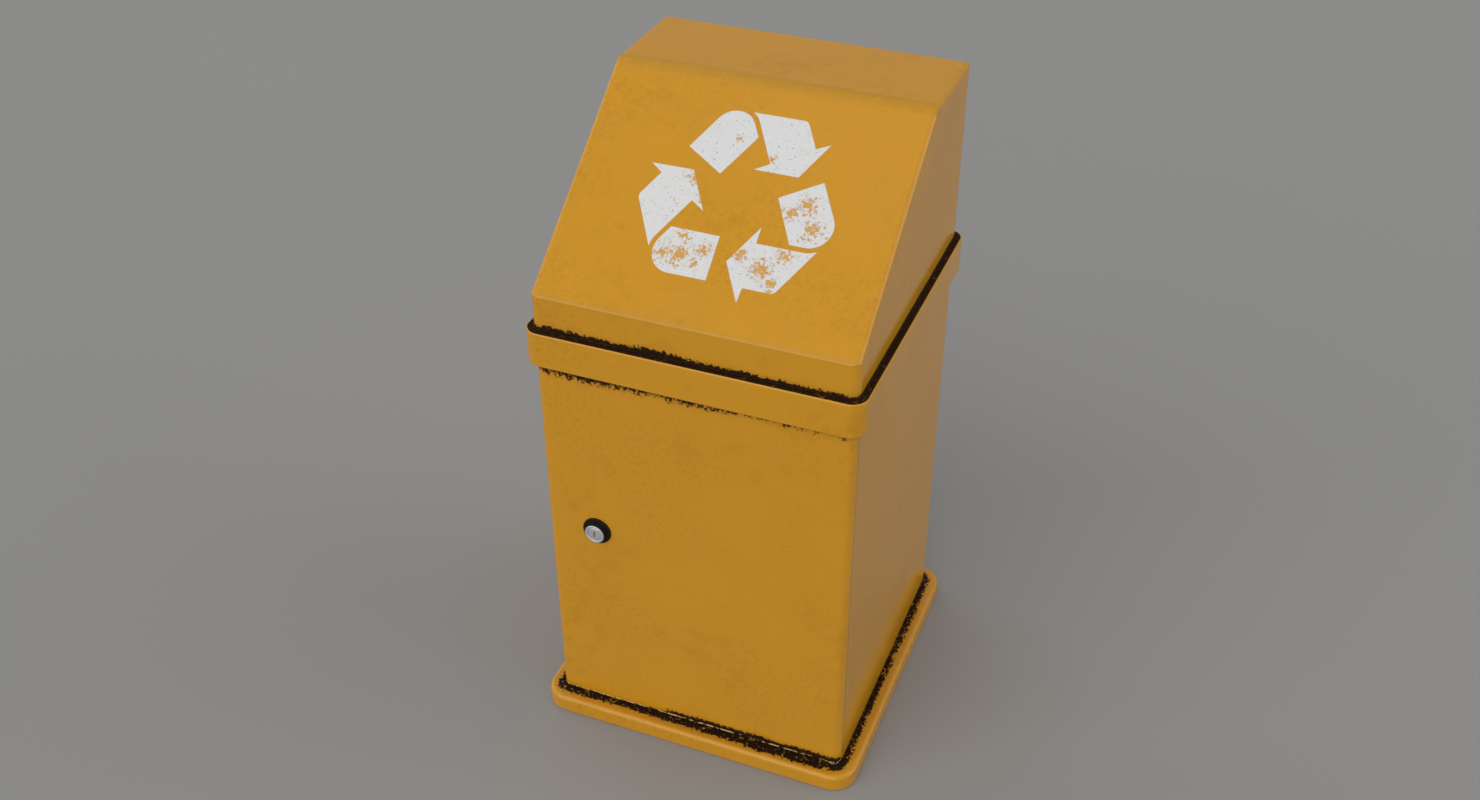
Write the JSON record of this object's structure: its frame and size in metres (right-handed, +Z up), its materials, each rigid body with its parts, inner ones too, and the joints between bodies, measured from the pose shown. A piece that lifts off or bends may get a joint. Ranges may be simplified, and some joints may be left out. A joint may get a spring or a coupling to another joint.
{
  "type": "recycling bin",
  "caption": "Square painted-steel street bin with a weighted plinth, locked front door, collar, sloped hood hinged at the rear and a galvanised liner.",
  "frame": {"origin": "centre of the plinth's underside, where the bin stands on the ground", "axes": "+Z up, -Y out of the front with the door and the slope, +X to the viewer's right when facing the front"},
  "size_m": [0.444, 0.444, 0.844],
  "materials": {
    "yellow_paint": "worn satin yellow paint with black grime in the joints",
    "painted_cast_iron": "worn satin yellow paint on cast iron",
    "zinc_plated_steel": "dull zinc plating",
    "galvanised_steel": "spangled galvanised sheet",
    "polished_steel": "polished, lightly scratched",
    "black_coating": "matt black",
    "black_rubber": "matt",
    "white_nylon": "moulded nylon"
  },
  "bodies": {
    "cabinet": {"plinth": "painted_cast_iron", "cabinet_floor": "zinc_plated_steel", "floor_bolt_1": "zinc_plated_steel", "floor_bolt_2": "zinc_plated_steel", "floor_bolt_3": "zinc_plated_steel", "floor_bolt_4": "zinc_plated_steel", "cabinet_shell": "yellow_paint", "collar": "yellow_paint", "left_jamb": "yellow_paint", "right_jamb": "yellow_paint", "throat_plate": "galvanised_steel", "upper_pivot_bracket": "zinc_plated_steel", "upper_pivot_pin": "polished_steel", "lower_pivot_stud": "polished_steel", "door_thrust_washer": "white_nylon", "door_buffer_upper": "black_rubber", "door_buffer_lower": "black_rubber", "lock_keep": "zinc_plated_steel", "keep_rivet_lower": "zinc_plated_steel", "keep_rivet_upper": "zinc_plated_steel", "hood_seal": "black_rubber", "hinge_fixed_leaf_left": "zinc_plated_steel", "hinge_pin_left": "polished_steel", "collar_rivet_left_outer": "zinc_plated_steel", "collar_rivet_left_inner": "zinc_plated_steel", "hood_stop_left": "zinc_plated_steel", "hood_stop_buffer_left": "black_rubber", "hinge_fixed_leaf_right": "zinc_plated_steel", "hinge_pin_right": "polished_steel", "collar_rivet_right_outer": "zinc_plated_steel", "collar_rivet_right_inner": "zinc_plated_steel", "hood_stop_right": "zinc_plated_steel", "hood_stop_buffer_right": "black_rubber", "liner": "galvanised_steel", "liner_runner_left": "zinc_plated_steel", "liner_handle_bracket_left": "galvanised_steel", "liner_runner_right": "zinc_plated_steel", "liner_handle_bracket_right": "galvanised_steel"},
    "door": {"door_skin": "yellow_paint", "door_stiffener_upper": "yellow_paint", "door_stiffener_lower": "yellow_paint", "door_bush_upper": "white_nylon", "door_bush_lower": "white_nylon", "lock_escutcheon": "black_coating", "lock_barrel": "polished_steel", "lock_nut": "zinc_plated_steel"},
    "lock": {"lock_plug": "polished_steel", "lock_cam": "zinc_plated_steel", "cam_screw": "zinc_plated_steel"},
    "hood": {"hood_shell": "yellow_paint", "hood_skirt": "zinc_plated_steel", "hinge_moving_leaf_left": "zinc_plated_steel", "hood_rivet_left_outer": "zinc_plated_steel", "hood_rivet_left_inner": "zinc_plated_steel", "hinge_moving_leaf_right": "zinc_plated_steel", "hood_rivet_right_outer": "zinc_plated_steel", "hood_rivet_right_inner": "zinc_plated_steel"},
    "left_handle": {"liner_handle_left": "zinc_plated_steel"},
    "right_handle": {"liner_handle_right": "zinc_plated_steel"}
  },
  "joints": [
    {"name": "door_swing", "type": "hinge", "parent": "cabinet", "child": "door", "pos_m": [0.189, -0.189, 0.3], "axis": [0, 0, 1], "range_deg": [0, 105]},
    {"name": "lock_turn", "type": "hinge", "parent": "door", "child": "lock", "pos_m": [-0.131, -0.19, 0.3235], "axis": [0, 1, 0], "range_deg": [0, 90]},
    {"name": "hood_lift", "type": "hinge", "parent": "cabinet", "child": "hood", "pos_m": [0, 0.2065, 0.616], "axis": [-1, 0, 0], "range_deg": [0, 80]},
    {"name": "left_handle_swing", "type": "hinge", "parent": "cabinet", "child": "left_handle", "pos_m": [-0.1555, 0, 0.49], "axis": [0, 1, 0], "range_deg": [0, 90]},
    {"name": "right_handle_swing", "type": "hinge", "parent": "cabinet", "child": "right_handle", "pos_m": [0.1555, 0, 0.49], "axis": [0, -1, 0], "range_deg": [0, 90]}
  ]
}
